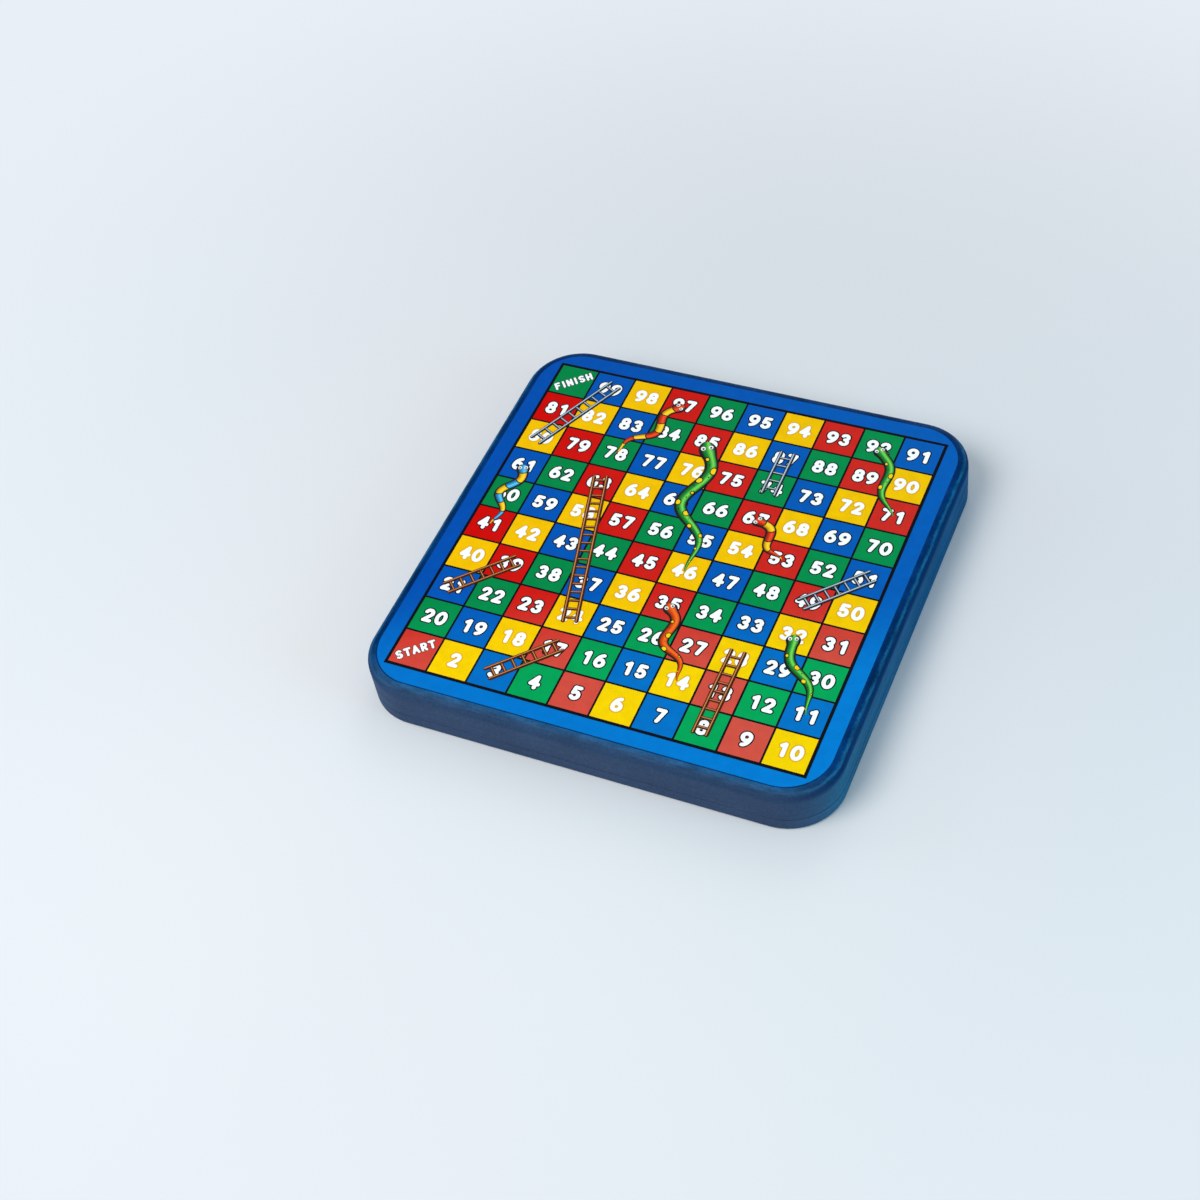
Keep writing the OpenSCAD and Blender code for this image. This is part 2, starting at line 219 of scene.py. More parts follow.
def faded(shader, front, back):
    """Painted light: a colour that changes from the lit front right quarter of the deck to the darker back
    left.
    """
    x, y, _ = shader.axes(shader.place())
    near = shader.span(x * DECK_LIGHT_SLANT - y, DECK_LIGHT_START, DECK_LIGHT_END, 0.0, 1 - DECK_LIGHT_ASIDE, "SMOOTHSTEP")
    aside = shader.span(x, SHEET_LOW.x, SHEET_HIGH.x, 0.0, DECK_LIGHT_ASIDE)
    return shader.mix(near + aside, back, front)


def print_material(name, front, back):
    """Satin ink, clouded and with the fine grain of print, and painted light that lightens it towards the
    front right.
    """
    shader = Shader(name, Specular_IOR_Level=INK_GLOSS)
    cloudy = tinted(shader, faded(shader, front, back), amount=0.05, scale=260.0)
    shader.colour(tinted(shader, cloudy, amount=0.035, scale=2100.0))
    shader.roughness(shader.uneven(0.44, 0.56, scale=900.0))
    shader.bump(shader.noise(2600.0, detail=3.0), distance=0.004 * MM)
    return shader.material


# The case's colours: its own navy, turned teal at the sides by painted light, with painted shade on the
# shoulder below the rounded upper edge, a rim over that edge that is lighter blue in front and darker at the
# sides as painted shade, and a painted highlight along the edge; and how far below the deck each zone lies.
# The corners stay navy until they face well aside.
NAVY, NAVY_SHOULDER_SHADE, NAVY_RIM = srgb(57, 76, 106), srgb(44, 68, 100), srgb(34, 90, 136)
SIDE_LIGHT_AHEAD, SIDE_LIGHT_BEHIND = srgb(40, 96, 128), srgb(0, 78, 122)
SIDE_SHOULDER_SHADE, SIDE_RIM_SHADE = srgb(0, 44, 92), srgb(0, 44, 98)
# Colour of the painted highlight along the rounded upper edge.
GLEAM = srgb(40, 120, 158)
CASE_GLOSS = 0.008
RIM_UP, RIM_DOWN = -0.1 * MM, 1.1 * MM
RIM_POWER = 2.2
GLEAM_DOWN, GLEAM_HALF = 0.75 * MM, 0.62 * MM
GLEAM_AHEAD, GLEAM_BESIDE = 0.06, 0.5
SHOULDER_TOP, SHOULDER_DOWN = 2.2 * MM, 6 * MM
SHOULDER_SHARE = 0.9
CORNER_POWER = 1.9
WAVE = 0.2 * MM
# How strongly flecks mottle the painted highlight near the edge.
GLEAM_FLECKS = 0.5
STREAK_AHEAD, STREAK_BESIDE = 0.06, 0.2


def facing(shader):
    """How far a point faces to either side, and how far forwards, whatever its slope."""
    across, along, up = shader.axes(shader.node("ShaderNodeTexCoord").outputs["Normal"])
    level = 1.0 - abs(up) ** 2
    ahead = shader.maths("MAXIMUM", along * -1.0, 0.0)
    return abs(across) ** 2 / level, ahead ** 2 / level


def case_zones(shader, down, beside, forward):
    """The wall, the painted shade of the shoulder above it and the rim: navy in front and behind, teal at
    the sides from painted light, and the rim darker at the sides from painted shade.
    """
    _, y, _ = shader.axes(shader.place())
    # Painted light: the sides turn teal, lighter towards the front.
    teal = shader.mix(shader.span(y, SHEET_LOW.y, CELL, 1.0, 0.0), SIDE_LIGHT_BEHIND, SIDE_LIGHT_AHEAD)
    wall = shader.mix(beside ** CORNER_POWER, NAVY, teal)
    # Painted shade on the shoulder below the rounded upper edge.
    shoulder = shader.span(down, SHOULDER_DOWN, SHOULDER_TOP, 0.0, SHOULDER_SHARE, "SMOOTHSTEP")
    wall = shader.mix(shoulder, wall, shader.mix(beside, NAVY_SHOULDER_SHADE, SIDE_SHOULDER_SHADE))
    # The rim is lighter blue in front and darker at the sides, as painted shade.
    rim = shader.span(down, RIM_DOWN, RIM_UP, 0.0, 1.0) ** RIM_POWER
    return shader.mix(rim, wall, shader.mix(forward, SIDE_RIM_SHADE, NAVY_RIM))


def gleaming(shader, colour, down, beside):
    """The colour with a streaky painted highlight along the rounded upper edge, strongest at the sides, and
    lighter and darker flecks there that mottle that highlight.
    """
    flecks = shader.uneven(0.0, 1.0, 1.0, detail=3.0, vector=shader.stretched(110, 110, 1300), spread=0.15)
    near = shader.span(abs(down - GLEAM_DOWN), 0.0, GLEAM_HALF, 1.0, 0.0, "SMOOTHSTEP")
    share = near * shader.span(beside, 0.0, 1.0, GLEAM_AHEAD, GLEAM_BESIDE)
    lit = shader.mix(share * shader.span(flecks, 0.0, 1.0, 0.5, 1.0), colour, GLEAM)
    # Flecks that lighten and darken the edge, as part of the painted highlight.
    flecked = shader.span(down, 2 * RIM_DOWN, RIM_DOWN / 2, 0.0, GLEAM_FLECKS) * (flecks - 0.5)
    return scaled(shader, lit, flecked + 1.0)


def streaked(shader, colour, beside):
    """The colour with long level streaks, which show most at the sides."""
    streaks = shader.uneven(-1.0, 1.0, 1.0, detail=4.0, vector=shader.stretched(22, 22, 420))
    depth = shader.span(beside, 0.0, 1.0, STREAK_AHEAD, STREAK_BESIDE)
    return scaled(shader, colour, streaks * depth + 1.0)


def case_material(name):
    """Moulded plastic with a fine satin grain, and painted light and shade: teal sides, a dark shoulder, a
    darker rim at the sides and a highlight along the rounded upper edge.
    """
    shader = Shader(name, 0.42, Specular_IOR_Level=CASE_GLOSS)
    _, _, z = shader.axes(shader.place())
    down = SHEET_HIGH.z - z + shader.uneven(-WAVE, WAVE, 700.0, detail=4.0, spread=0.3)
    beside, forward = facing(shader)
    colour = gleaming(shader, case_zones(shader, down, beside, forward), down, beside)
    clouded = tinted(shader, streaked(shader, colour, beside), amount=0.1, scale=45.0)
    shader.colour(tinted(shader, clouded, amount=0.12, scale=1100.0))
    shader.roughness(shader.uneven(0.36, 0.5, scale=60.0, detail=4.0))
    shader.bump(shader.noise(2400.0) + shader.noise(5200.0, detail=1.0), distance=0.012 * MM, strength=0.6)
    return shader.material


def gloss_material(name, colour):
    """Glossy injection-moulded plastic, for the pawns and the die."""
    shader = Shader(name, 0.22, Coat_Weight=0.4, Coat_Roughness=0.08, Subsurface_Weight=0.05,
                    Subsurface_Scale=0.6 * MM)
    shader.colour(tinted(shader, colour, amount=0.04, scale=300.0))
    shader.roughness(shader.uneven(0.17, 0.3, scale=700.0, detail=3.0))
    shader.bump(shader.noise(900.0), distance=0.006 * MM)
    return shader.material


def tray_material(name):
    """Thin formed plastic, dull and slightly pebbled."""
    shader = Shader(name, 0.6)
    shader.colour(tinted(shader, srgb(52, 54, 58), amount=0.12, scale=120.0))
    shader.roughness(shader.uneven(0.5, 0.68, scale=400.0, detail=3.0))
    shader.bump(shader.noise(3000.0, detail=3.0), distance=0.02 * MM, strength=0.8)
    return shader.material


def steel_material(name):
    """Drawn wire: fine scratches along X."""
    shader = Shader(name, 0.3, Metallic=1.0)
    scratches = shader.noise(1.0, detail=4.0, vector=shader.stretched(60, 4000, 4000))
    shader.colour(shader.ramp(scratches, [(0.3, srgb(170, 172, 176)), (0.7, srgb(205, 206, 208))]))
    shader.roughness(shader.span(scratches, 0.3, 0.7, 0.22, 0.4))
    return shader.material


def letter_material(name, colour):
    """Plain ink of the numerals, words and eyes."""
    shader = Shader(name, 0.4)
    shader.colour(tinted(shader, colour, amount=0.03, scale=900.0))
    return shader.material


def letter_rim_material(name, dark, ochre):
    """Dark ink round the letters, and a soft ochre on the yellow squares."""
    shader = Shader(name, Specular_IOR_Level=INK_GLOSS)
    colour = shader.mix(shader.attribute("on_yellow"), dark, ochre)
    shader.colour(tinted(shader, colour, amount=0.03, scale=900.0))
    return shader.material


# Ink of the ladders and snakes. Shares across a figure run from -1 at one edge to 1 at the other, and
# what is given in half widths follows the snake's own width there.
FIGURE_ROUGH, FIGURE_GLOSS = 0.45, 0.1
OUTLINE = srgb(18, 16, 16)
SHADE = 0.42
LIGHT_AT, MIDDLE_AT = 0.36, 0.58
TIP_INK = 0.3 * MM
SNAKE_INK = 0.12
SPOT, SPOT_RIM = srgb(252, 208, 8), srgb(30, 24, 8)
SPOT_PITCH = 6.4 * MM
SPOT_START = 7 * MM
SPOT_STRETCH = 1.25
SPOT_FLANKS, DOT_FLANKS = (-0.48, 0.42), (0.3, -0.3)
SPOT_LEAST, SPOT_MOST = 0.18, 0.44
SPOT_RIM_W, DOT_R = 0.15, 0.1
BAND, BAND_LIGHT = srgb(246, 184, 0), srgb(255, 222, 48)
BAND_PERIOD = 9.6 * MM
BAND_BEND = 0.1
BAND_LINE = 0.025


def shaded_across(shader, middle, light, ink, outline=OUTLINE):
    """Colour over a rounded figure: an outline, whose ink is a share of the figure's width, a lit flank
    and a shaded one."""
    across = shader.span(shader.attribute("across"), -1.0, 1.0, 0.0, 1.0)
    shade = tuple(SHADE * part for part in middle[:3]) + (1.0,)
    body = shader.ramp(across, [
        (0.0, outline), (ink, outline), (1.5 * ink, middle), (LIGHT_AT, light), (MIDDLE_AT, middle),
        (1 - 1.9 * ink, shade), (1 - 1.3 * ink, outline), (1.0, outline)])
    return shader.mix(shader.attribute("along") < TIP_INK, body, outline)


def from_spot(shader, shift, flanks):
    """How far a point is from the middle of its spot, in half widths, and the spot's number. The spots
    lie on the left flank and the right one in turn."""
    turn = shader.attribute("along") / SPOT_PITCH + shift
    number = shader.maths("FLOOR", turn)
    flank = shader.span(shader.maths("FLOORED_MODULO", number, 2.0), 0.0, 1.0, *flanks)
    ahead = (shader.maths("FRACT", turn) - 0.5) * SPOT_PITCH / (shader.attribute("half") * SPOT_STRETCH)
    aside = abs(shader.attribute("across") - flank)
    return shader.maths("SQRT", ahead ** 2 + aside ** 2), number


def spotted_snake(name, middle, light):
    """A body with yellow spots of several sizes, each with a thin dark rim, and small dark dots between."""
    shader = Shader(name, FIGURE_ROUGH, Specular_IOR_Level=FIGURE_GLOSS)
    body = shaded_across(shader, middle, light, SNAKE_INK)
    far, number = from_spot(shader, 0.0, SPOT_FLANKS)
    chance = shader.node("ShaderNodeTexWhiteNoise", {"W": number}, noise_dimensions="1D").outputs["Value"]
    radius = shader.span(chance, 0.0, 1.0, SPOT_LEAST, SPOT_MOST)
    dot, _ = from_spot(shader, 0.5, DOT_FLANKS)

    # Nothing is drawn on the head, nor over the outline
    behind_head = shader.attribute("along") > SPOT_START
    free = behind_head * (abs(shader.attribute("across")) < 1 - 2 * SNAKE_INK)
    dark = shader.maths("MAXIMUM", far < radius + SPOT_RIM_W, dot < DOT_R)
    rimmed = shader.mix(dark * free, body, SPOT_RIM)
    shader.colour(shader.mix((far < radius) * free, rimmed, SPOT))
    return shader.material


def banded_snake(name, middle, light):
    """A body with bands of yellow between thin dark lines."""
    shader = Shader(name, FIGURE_ROUGH, Specular_IOR_Level=FIGURE_GLOSS)
    bent = abs(shader.attribute("across")) ** 2 * BAND_BEND
    turn = shader.maths("FRACT", bent + shader.attribute("along") / BAND_PERIOD)
    banded = shader.mix(turn > 0.5, shaded_across(shader, middle, light, SNAKE_INK),
                        shaded_across(shader, BAND, BAND_LIGHT, SNAKE_INK))
    edge = shader.maths("MINIMUM", turn, 1.0 - turn)
    near = shader.maths("MINIMUM", abs(turn - 0.5), edge)
    shader.colour(shader.mix(near < BAND_LINE, banded, OUTLINE))
    return shader.material


def ladder_material(name, middle, light, outline, grain, ink):
    """Bars with an inked outline and streaks along them."""
    shader = Shader(name, FIGURE_ROUGH, Specular_IOR_Level=FIGURE_GLOSS)
    streaks = shader.node("ShaderNodeCombineXYZ", {
        "X": shader.attribute("along") * 260.0, "Y": shader.attribute("across") * 2.2})
    amount = shader.uneven(1 - grain, 1 + grain, 2.0, detail=3.0, vector=streaks.outputs["Vector"])
    shader.colour(scaled(shader, shaded_across(shader, middle, light, ink, outline), amount))
    return shader.material


# Mesh tools

class Bodies:
    """Gathers closed bodies for one piece. An attribute has a value for every point."""

    def __init__(self):
        self.points, self.faces, self.values = [], [], {}

    def add(self, points, faces, **values):
        start = len(self.points)
        self.points += [tuple(point) for point in points]
        self.faces += [[start + i for i in face] for face in faces]
        for name, column in values.items():
            self.values.setdefault(name, []).extend(column)

    def add_stack(self, rings, **values):
        """Adds a body over rings of points, which run anticlockwise as seen from the last ring's side."""
        count = len(rings[0])
        last = (len(rings) - 1) * count
        faces = []
        for low in range(0, last, count):
            for i in range(count):
                j = (i + 1) % count
                faces.append([low + i, low + j, low + count + j, low + count + i])
        faces.append(list(reversed(range(count))))
        faces.append(list(range(last, last + count)))
        self.add([point for ring in rings for point in ring], faces, **values)

    def add_slab(self, points, triangles, low, high):
        """Adds a flat shape as a thin slab between two heights."""
        count = len(points)
        edges = {edge for face in triangles for edge in zip(face, face[1:] + face[:1])}
        faces = [[count + i for i in face] for face in triangles]
        faces += [list(reversed(face)) for face in triangles]
        faces += [[a, b, count + b, count + a] for a, b in sorted(edges) if (b, a) not in edges]
        self.add([(p[0], p[1], z) for z in (low, high) for p in points], faces)

    def piece(self, name, material, body, slot, smooth=False):
        """The mesh object. It rides on a body of the case and takes the given material. The slot is not
        used.
        """
        mesh = bpy.data.meshes.new(name)
        mesh.from_pydata(self.points, [], self.faces, shade_flat=not smooth)
        mesh.materials.append(material)
        for key, column in self.values.items():
            mesh.attributes.new(key, "FLOAT", "POINT").data.foreach_set("value", column)
        mesh.update()
        piece = bpy.data.objects.new(name, mesh)
        bpy.context.scene.collection.objects.link(piece)
        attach(piece, body)
        return piece


def arc(x, y, wide, high, start, end, steps=12):
    """Points along an ellipse's edge, between two angles in degrees."""
    angles = [math.radians(start + (end - start) * i / steps) for i in range(steps + 1)]
    return [(x + wide * math.cos(angle), y + high * math.sin(angle)) for angle in angles]


def ring(centre, across, along, steps):
    """Points all round an ellipse with these two half axes."""
    angles = [2 * math.pi * i / steps for i in range(steps)]
    return [centre + across * math.cos(angle) + along * math.sin(angle) for angle in angles]


def half_turn(centre, arm, steps=8):
    """Points between the two ends of a half circle that starts at the arm."""
    return [centre + Matrix.Rotation(math.pi * i / steps, 2) @ arm for i in range(1, steps)]


def merged(points, faces, snap=0.002, digits=4, inside_only=1, slack=1e-5):
    """The union of flat polygons, as points and triangles. Points nearer than the snap become one."""
    rounded = [Vector((round(p[0], digits), round(p[1], digits))) for p in points]
    points, _, triangles, _, _, origins = delaunay_2d_cdt(rounded, [], faces, inside_only, slack, True)
    inside = [face for face, origin in zip(triangles, origins) if origin]
    kept, stands_for = [], {}
    for i in sorted({i for face in inside for i in face}):
        near = [k for k in kept if (points[k] - points[i]).length < snap]
        if not near:
            kept.append(i)
        stands_for[i] = kept.index(near[0]) if near else len(kept) - 1
    corners = [[stands_for[i] for i in face] for face in inside]
    return [points[k] for k in kept], [face for face in corners if len(set(face)) == 3]


# Numerals and letters, drawn with a round pen. A glyph is a list of strokes on a height of 1.

SIX = [arc(0, -0.155, 0.225, 0.23, 90, 270), arc(0, -0.155, 0.225, 0.23, -90, 90),
       arc(0.15, -0.155, 0.375, 0.54, 97, 180)]
GLYPHS = {
    "0": [arc(0, 0, 0.235, 0.385, 90, 270), arc(0, 0, 0.235, 0.385, -90, 90)],
    "1": [[(-0.12, 0.24), (0.06, 0.37)], [(0.06, 0.37), (0.07, -0.375)]],
    "2": [arc(-0.01, 0.175, 0.2, 0.2, 165, -38), [(0.15, 0.05), (-0.19, -0.375)],
          [(-0.19, -0.375), (0.2, -0.375)]],
    "3": [arc(-0.02, 0.19, 0.18, 0.185, 150, -80), arc(-0.02, -0.18, 0.2, 0.195, 85, -150)],
    "4": [[(0.09, 0.375), (-0.22, -0.13)], [(-0.22, -0.13), (0.24, -0.13)], [(0.09, 0.375), (0.09, -0.385)]],
    "5": [[(0.17, 0.375), (-0.13, 0.375)], [(-0.13, 0.375), (-0.16, 0.04)],
          arc(-0.02, -0.145, 0.21, 0.22, 135, -145)],
    "6": SIX,
    "7": [[(-0.19, 0.375), (0.2, 0.375)], [(0.2, 0.375), (-0.04, -0.375)]],
    "8": [arc(0, 0.195, 0.18, 0.19, 90, 270), arc(0, 0.195, 0.18, 0.19, -90, 90),
          arc(0, -0.18, 0.215, 0.205, 90, 270), arc(0, -0.18, 0.215, 0.205, -90, 90)],
    "9": [[(-x, -y) for x, y in stroke] for stroke in SIX],
    "S": [arc(0, 0.18, 0.18, 0.18, 35, 270), arc(0, -0.18, 0.18, 0.18, 90, -145)],
    "T": [[(-0.22, 0.36), (0.22, 0.36)], [(0, 0.36), (0, -0.36)]],
    "A": [[(0, 0.36), (-0.22, -0.36)], [(0, 0.36), (0.22, -0.36)], [(-0.15, -0.12), (0.15, -0.12)]],
    "R": [[(-0.17, 0.36), (-0.17, -0.36)], [(-0.17, 0.36), (0.02, 0.36)],
          arc(0.02, 0.17, 0.17, 0.19, 90, -90), [(0.02, -0.02), (-0.17, -0.02)],
          [(0.0, -0.02), (0.18, -0.36)]],
    "F": [[(-0.15, 0.36), (-0.15, -0.36)], [(-0.15, 0.36), (0.18, 0.36)], [(-0.15, 0.03), (0.12, 0.03)]],
    "I": [[(0, 0.36), (0, -0.36)]],
    "N": [[(-0.19, -0.36), (-0.19, 0.36)], [(-0.19, 0.36), (0.19, -0.36)], [(0.19, -0.36), (0.19, 0.36)]],
    "H": [[(-0.19, -0.36), (-0.19, 0.36)], [(0.19, -0.36), (0.19, 0.36)], [(-0.19, 0), (0.19, 0)]],
}
NARROW_LETTER = 0.62
COVERED = 0.999

# The pen is half a stroke's width as a share of the letters' height. The rest are real sizes.
Lettering = namedtuple("Lettering", "height pitch pen rim angle")
NUMERAL = Lettering(height=0.4 * CELL, pitch=0.32 * CELL, pen=0.12, rim=0.03 * CELL, angle=0.0)
WORD = Lettering(height=0.265 * CELL, pitch=0.195 * CELL, pen=0.112, rim=0.014 * CELL,
                 angle=math.radians(40))
LETTER_FOOT = INK_Z + 0.004 * MM
RIM_TOP, FILL_TOP = INK_Z + 0.014 * MM, INK_Z + 0.024 * MM


def pen_stroke(points, half):
    """The outline of a stroke with round ends, anticlockwise, without the points that the pen covers."""
    line = [Vector(p) for p in points]
    slopes = [(b - a).normalized() for a, b in zip(line, line[1:])]
    ways = [slopes[0]] + [(a + b).normalized() for a, b in zip(slopes, slopes[1:])] + [slopes[-1]]
    right = [p + half * Vector((way.y, -way.x)) for p, way in zip(line, ways)]
    left = [p - half * Vector((way.y, -way.x)) for p, way in zip(line, ways)]
    far_end, near_end = half_turn(line[-1], right[-1] - line[-1]), half_turn(line[0], left[0] - line[0])
    outline = right + far_end + left[::-1] + near_end
    return [p for p in outline if all((p - q).length > COVERED * half for q in line)]


def text_shape(text, pitch, half):
    """The united shape of a text about its middle, for letters 1 high and a pen of that half width. A
    letter takes one pitch, and an I less."""
    rooms = [NARROW_LETTER if letter == "I" else 1.0 for letter in text]
    points, faces = [], []
    for i, letter in enumerate(text):
        shift = Vector(((sum(rooms[:i]) + rooms[i] / 2 - sum(rooms) / 2) * pitch, 0))
        for stroke in GLYPHS[letter]:
            outline = pen_stroke(stroke, half)
            faces.append(list(range(len(points), len(points) + len(outline))))
            points += [shift + p for p in outline]
    return merged(points, faces)


def row_and_column(number):
    """A square's row from the front and column from the left: the numbers run to and fro."""
    row, step = divmod(number - 1, CELLS)
    return row, step if row % 2 == 0 else CELLS - 1 - step


def on_yellow(number):
    """One for a yellow square. Those lie on every fourth diagonal."""
    row, column = row_and_column(number)
    return float(column % 4 == (row + 1) % 4)


def square_at(number):
    """Middle of a numbered square."""
    row, column = row_and_column(number)
    return Vector((FIELD.x + (column + 0.5 - CELLS / 2) * CELL, FIELD.y + (row + 0.5 - CELLS / 2) * CELL))


def texts():
    """Every square's number, text and lettering."""
    for number in range(2, CELLS * CELLS):
        yield number, str(number), NUMERAL
    yield 1, "START", WORD
    yield CELLS * CELLS, "FINISH", WORD


def written(rims, top):
    """All texts as slabs up to a height, grown by that share of their rims, and for every point a mark
    that is one on the yellow squares."""
    bodies, marks = Bodies(), []
    for number, text, style in texts():
        half = style.pen + rims * style.rim / style.height
        points, triangles = text_shape(text, style.pitch / style.height, half)
        turn = Matrix.Rotation(style.angle, 2)
        placed = [square_at(number) + turn @ (style.height * p) for p in points]
        bodies.add_slab(placed, triangles, LETTER_FOOT, top)
        marks += [on_yellow(number)] * (2 * len(placed))
    return bodies, marks


def numerals():
    rim_ink = letter_rim_material("numeral_rim", dark=srgb(16, 14, 24), ochre=srgb(226, 170, 20))
    white = letter_material("numeral_white", srgb(250, 250, 250))
    rims, marks = written(1.0, RIM_TOP)
    rims.values["on_yellow"] = marks
    rims.piece("numeral_rims", rim_ink, "lid", "line_ink")
    fills, _ = written(0.0, FILL_TOP)
    fills.piece("numerals", white, "lid", "line_ink")


# Ladders and snakes: the same squares, sizes and rules as the solids that they replace

BROWN_LADDERS = [(3, 17), (8, 28), (21, 39), (24, 63)]
SILVER_LADDERS = [(80, 99), (74, 87), (49, 51)]
LADDER_W = 6.6 * MM
RAIL_W = 1.6 * MM
RUNG_W = 1.3 * MM
RUNG_PITCH = 4 * MM
RUNG_H = 0.7 * FIGURE_H
LADDER_REACH = 3.4 * MM

# A figure's cross section in shares of its half width and height, over a low upright edge, and how a
# bar's end widens, in shares of half the bar's width. Narrow stretches are lower in proportion.
DOME = [(-1.0, 0.0), (-0.86, 0.5), (-0.5, 0.86), (0.0, 1.0), (0.5, 0.86), (0.86, 0.5), (1.0, 0.0)]
ACROSS = [-1.0] + [share for share, _ in DOME] + [1.0]
BAR_END = [(0.0, 0.35), (0.25, 0.72), (0.7, 1.0)]
EDGE_H = 0.04 * MM
FULL_HEIGHT_FROM = 0.4


def section(centre, side, half, rise):
    """The points round one cross section of a figure."""
    domed = [EDGE_H + (rise - EDGE_H) * lift for _, lift in DOME]
    points = [centre + side * (share * half) for share in ACROSS]
    return [(point.x, point.y, INK_Z + height) for point, height in zip(points, [0.0] + domed + [0.0])]


def sweep(bodies, centres, sides, halves, height):
    """Adds a long body over a middle line: domed above, flat below, with blunt ends. Its attributes
    tell how far along and across each point lies, and half the width there."""
    fars = [0.0]
    for a, b in zip(centres, centres[1:]):
        fars.append(fars[-1] + (b - a).length)
    rises = [height * min(1.0, half / (FULL_HEIGHT_FROM * max(halves))) for half in halves]
    rings = [section(*values) for values in zip(centres, sides, halves, rises)]
    bodies.add_stack(rings, along=[far for far in fars for _ in ACROSS],
                     across=ACROSS * len(rings), half=[half for half in halves for _ in ACROSS])


def bar(bodies, a, b, width, height):
    """Adds a straight bar with softly rounded ends."""
    way = (b - a).normalized()
    tip, length = width / 2, (b - a).length
    ends = [(place * tip, share) for place, share in BAR_END]
    stations = ends + [(length - place, share) for place, share in reversed(ends)]
    sweep(bodies, [a + way * place for place, _ in stations], [Vector((way.y, -way.x))] * len(stations),
          [tip * share for _, share in stations], height)


def ladders(name, pairs, material, slot):
    """Straight ladders between the middles of pairs of squares, a little longer than that at both ends."""
    relief = Bodies()
    for foot, top in pairs:
        a, b = square_at(foot), square_at(top)
        way = (b - a).normalized()
        middle, span = (a + b) / 2, (b - a).length + 2 * LADDER_REACH
        out = Vector((way.y, -way.x)) * ((LADDER_W - RAIL_W) / 2)
        rungs = math.floor(span / RUNG_PITCH)
        for i in range(rungs):
            at = middle + way * ((i - (rungs - 1) / 2) * RUNG_PITCH)
            bar(relief, at - out, at + out, RUNG_W, RUNG_H)
        reach = way * (span / 2)
        for shift in (-out, out):
            bar(relief, middle - reach + shift, middle + reach + shift, RAIL_W, FIGURE_H)
    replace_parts(relief.piece(name + "_relief", material, "lid", slot, True), name)


# Each snake's square of the head and of the tail, its waves, and the side of its first bend
GREEN_SNAKES = [(92, 71, 1, 1), (32, 11, 1, -1)]
LONG_SNAKES = [(85, 46, 1.5, 1)]
RED_SNAKES = [(97, 78, 1.5, -1), (67, 53, 1, 1)]
ORANGE_SNAKES = [(35, 14, 1.5, 1)]
BLUE_SNAKES = [(61, 41, 1.5, 1)]
SNAKE_W, SNAKE_SWAY = 4.2 * MM, 3.4 * MM
LONG_W, LONG_SWAY = 5.4 * MM, 6 * MM

# Shares of a snake's length, the nose first, and widths as shares of its own
NOSE_STATIONS = [0.0005, 0.002, 0.005]
SNAKE_STEPS = 120
SLOPE_STEP = 0.005
HEAD_MID, HEAD_END, HEAD_WIDTH = 0.07, 0.15, 0.3
THIN_FROM, TAIL_TIP = 0.35, 0.1
LEAST_HALF = 0.02 * MM


def snake_half(t, width):
    """Half width at share t of the length: a rounded head, a neck and a long taper."""
    nose = math.sqrt(max(0.0, 1 - (1 - t / HEAD_MID) ** 2)) if t < HEAD_MID else 1.0
    head = 0.0
    if t < HEAD_MID:
        head = HEAD_WIDTH
    elif t < HEAD_END:
        head = HEAD_WIDTH * (1 + math.cos(math.pi * (t - HEAD_MID) / (HEAD_END - HEAD_MID))) / 2
    taper = 1.0
    if t >= THIN_FROM:
        taper = TAIL_TIP + (1 - TAIL_TIP) * math.cos(math.pi / 2 * (t - THIN_FROM) / (1 - THIN_FROM))
    return width / 2 * nose * (taper + head)


class Snake:
    """The middle line of one snake, from the middle of the head's square to the tail's."""

    def __init__(self, head, tail, waves, side, width, sway):
        self.a, self.b = square_at(head), square_at(tail)
        self.waves, self.width, self.sway = waves, width, side * sway
        self.way = (self.b - self.a).normalized()
        self.left = Vector((-self.way.y, self.way.x))
        self.length = (self.b - self.a).length

    def at(self, t):
        swing = self.sway * math.sin(2 * math.pi * self.waves * t) * math.sin(math.pi * t)
        return self.a + self.way * (t * self.length) + self.left * swing

    def side(self, t):
        """The way to the right of the body."""
        slope = (self.at(t + SLOPE_STEP) - self.at(t - SLOPE_STEP)).normalized()
        return Vector((slope.y, -slope.x))

    def add_body(self, bodies):
        shares = NOSE_STATIONS + [i / SNAKE_STEPS for i in range(1, SNAKE_STEPS + 1)]
        halves = [max(snake_half(t, self.width), LEAST_HALF) for t in shares]
        sweep(bodies, [self.at(t) for t in shares], [self.side(t) for t in shares], halves, FIGURE_H)


def snakes(node, groups, material, slot):
    """Snakes of one colour, in groups of one width and sway. Returns their middle lines."""
    lines = [Snake(*row, width, sway) for rows, width, sway in groups for row in rows]
    relief = Bodies()
    for line in lines:
        line.add_body(relief)
    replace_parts(relief.piece(node + "_relief", material, "lid", slot, True), node)
    return lines


# An eye's discs: half width and half length as shares of the head's half width, how far the disc lies
# ahead in such shares, and its top as a share of the figures' height
Disc = namedtuple("Disc", "wide long ahead top")
EYE_RIM = Disc(wide=0.39, long=0.43, ahead=0.0, top=0.93)
EYE_WHITE = Disc(wide=0.27, long=0.31, ahead=0.0, top=0.96)
PUPIL = Disc(wide=0.13, long=0.16, ahead=0.05, top=0.99)
EYE_AT = 0.055
EYE_ASIDE = 0.44
EYE_FOOT = 0.2
EYE_STEPS = 20


